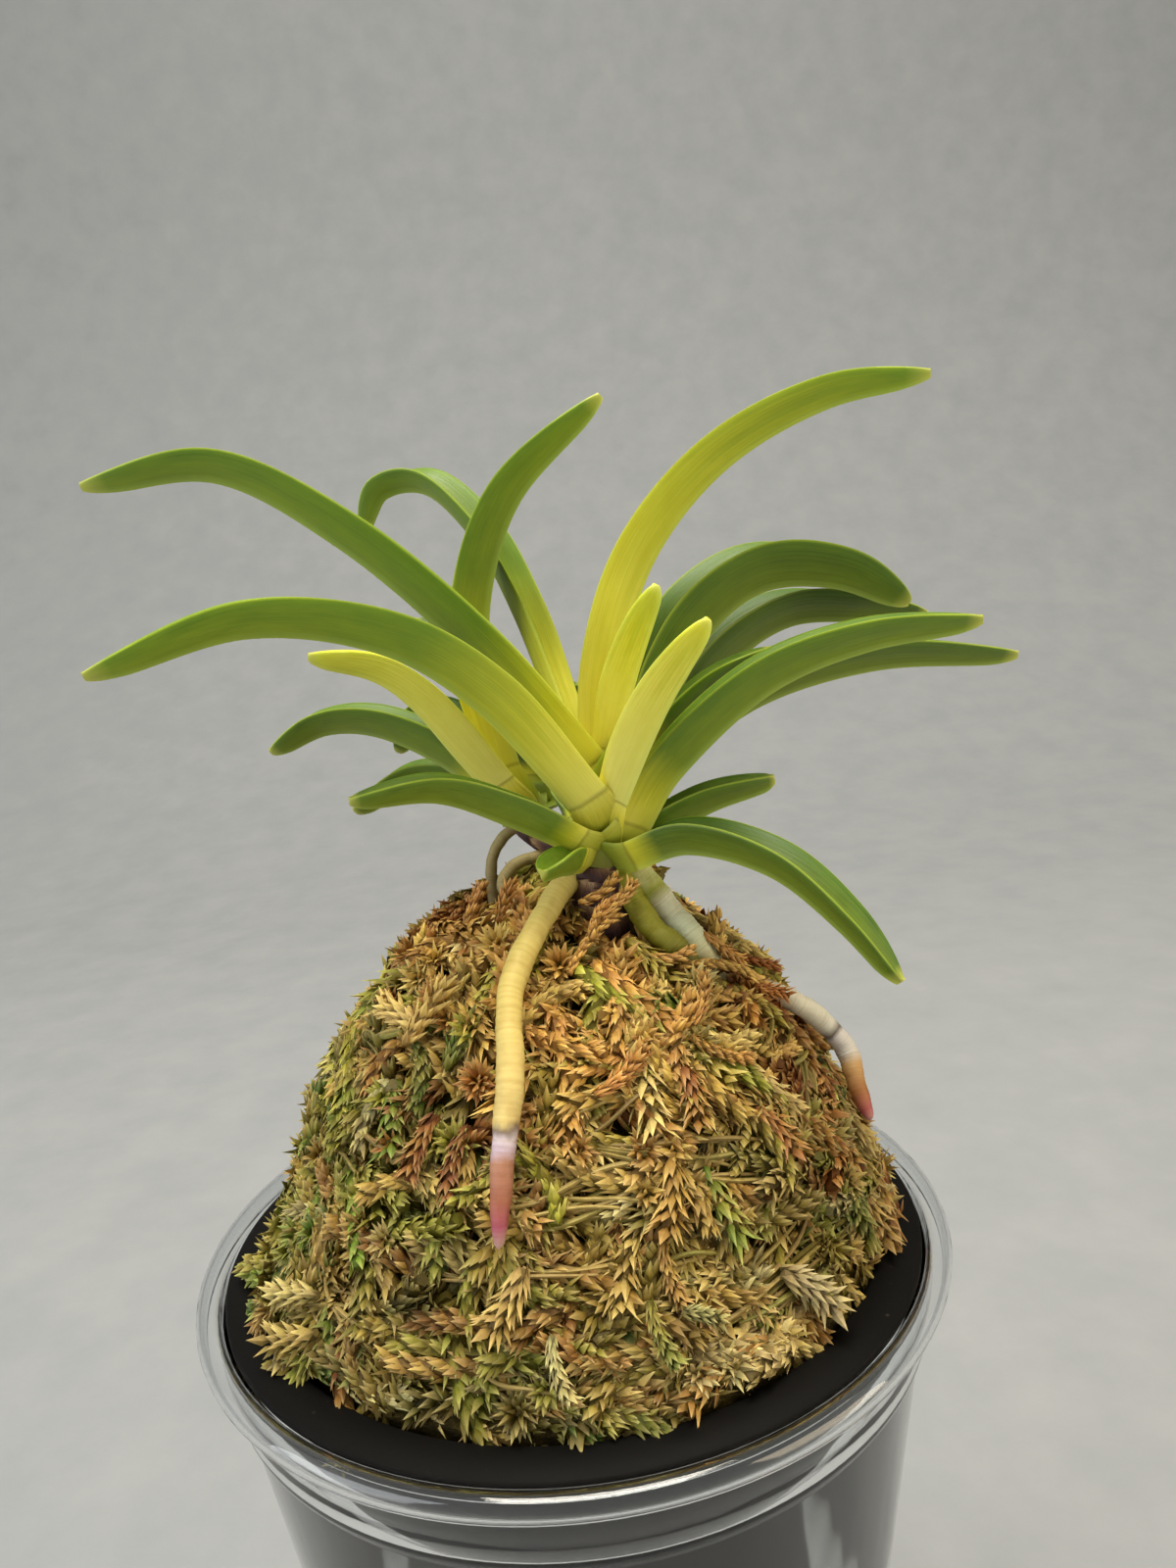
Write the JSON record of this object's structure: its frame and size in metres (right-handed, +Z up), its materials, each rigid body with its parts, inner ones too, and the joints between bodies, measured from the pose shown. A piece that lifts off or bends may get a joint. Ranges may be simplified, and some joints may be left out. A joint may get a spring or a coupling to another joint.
{
  "type": "potted wind orchid",
  "caption": "Small fan-leaved orchid with channelled leaves and thick aerial roots on a high mound of sphagnum moss, in a black pot hung inside a clear tumbler.",
  "frame": {"origin": "centre of the tumbler's flat base", "axes": "+Z up along the tumbler's axis, -Y towards the front of the picture, +X to the right"},
  "size_m": [0.1131, 0.098, 0.2134],
  "materials": {
    "clear_plastic": "gloss",
    "black_plastic": "matte",
    "sphagnum": "matte",
    "dry_sheath": "matte",
    "stem_sheath": "satin",
    "leaf_green": "satin",
    "leaf_young": "satin",
    "root_cream": "matte",
    "root_olive": "matte",
    "root_dry": "matte"
  },
  "bodies": {
    "root": {"tumbler": "clear_plastic", "inner_pot": "black_plastic", "moss_mound": "sphagnum", "front_stem_foot": "dry_sheath", "front_stem": "stem_sheath", "back_stem_foot": "dry_sheath", "back_stem": "stem_sheath", "front_leaf_tall": "leaf_green", "front_leaf_left_high": "leaf_green", "front_leaf_back_curl": "leaf_green", "front_leaf_right_high": "leaf_green", "front_leaf_right_mid": "leaf_green", "front_leaf_right_short": "leaf_green", "front_leaf_left_low": "leaf_green", "front_leaf_right_long": "leaf_green", "front_leaf_right_back": "leaf_green", "front_leaf_left_short": "leaf_green", "front_leaf_stub_back": "leaf_green", "front_leaf_right_low": "leaf_green", "front_leaf_drooping": "leaf_green", "front_leaf_bottom_stub": "leaf_green", "back_leaf_tall": "leaf_green", "back_leaf_upright": "leaf_green", "back_leaf_left_top": "leaf_green", "back_leaf_left_mid": "leaf_green", "back_leaf_left_rear": "leaf_green", "back_leaf_left_low": "leaf_green", "front_leaf_new_inner": "leaf_young", "front_leaf_new_outer": "leaf_young", "back_leaf_young": "leaf_young", "root_front": "root_cream", "root_right": "root_cream", "root_far_right": "root_cream", "root_olive": "root_olive", "root_dry_left": "root_dry", "root_dry_loop": "root_dry"}
  },
  "joints": []
}
